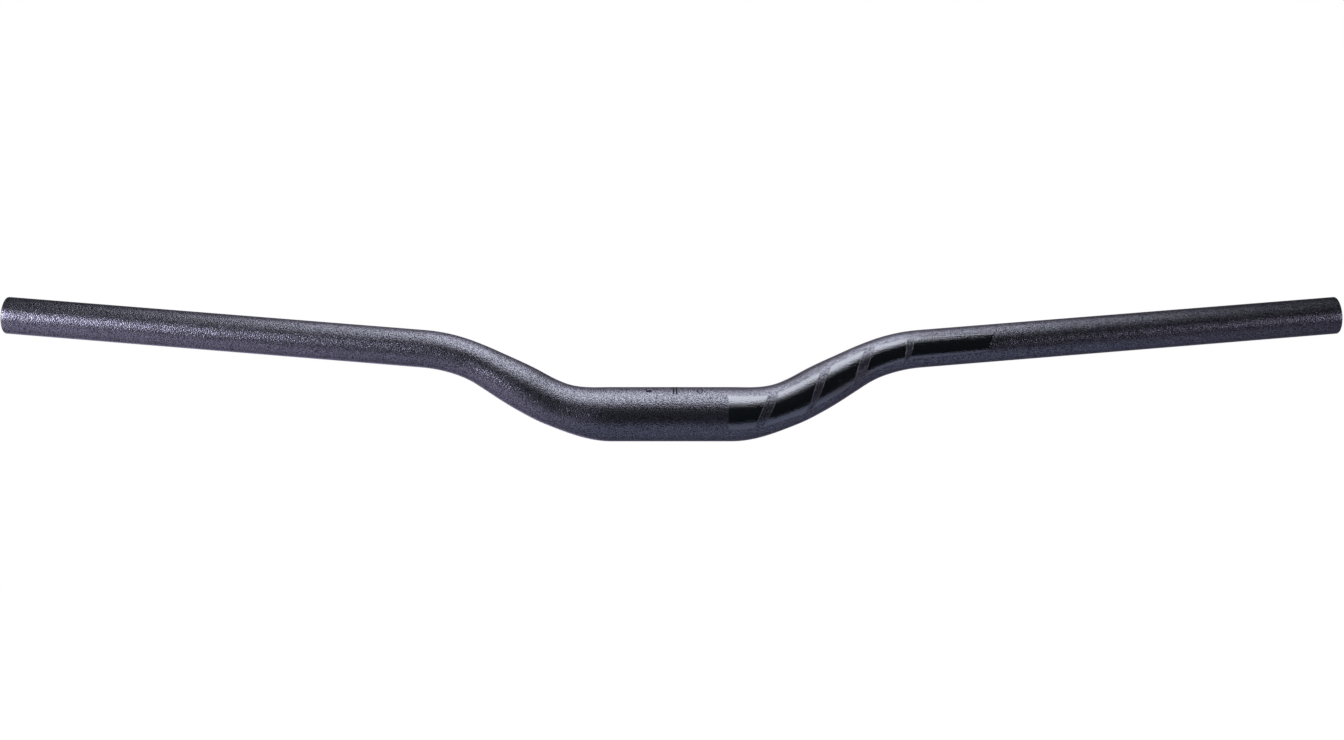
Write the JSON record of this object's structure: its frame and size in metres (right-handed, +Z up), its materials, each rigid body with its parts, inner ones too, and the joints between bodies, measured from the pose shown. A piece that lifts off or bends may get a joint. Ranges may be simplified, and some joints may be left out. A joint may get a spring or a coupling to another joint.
{
  "type": "mountain bike handlebar",
  "caption": "Riser handlebar: one hollow tapered tube, thick and straight at the stem clamp, bent up and swept back to thin straight ends for the grips.",
  "frame": {"origin": "middle of the stem clamp, on the tube's axis", "axes": "+X along the clamp towards the rider's left grip, +Y back to the rider, +Z up"},
  "size_m": [0.8036, 0.0752, 0.0879],
  "materials": {
    "tube": "satin dark grey metallic",
    "gloss_blocks": "gloss black print",
    "setting_marks": "dark grey print"
  },
  "bodies": {
    "root": {"handlebar": "tube"}
  },
  "joints": []
}
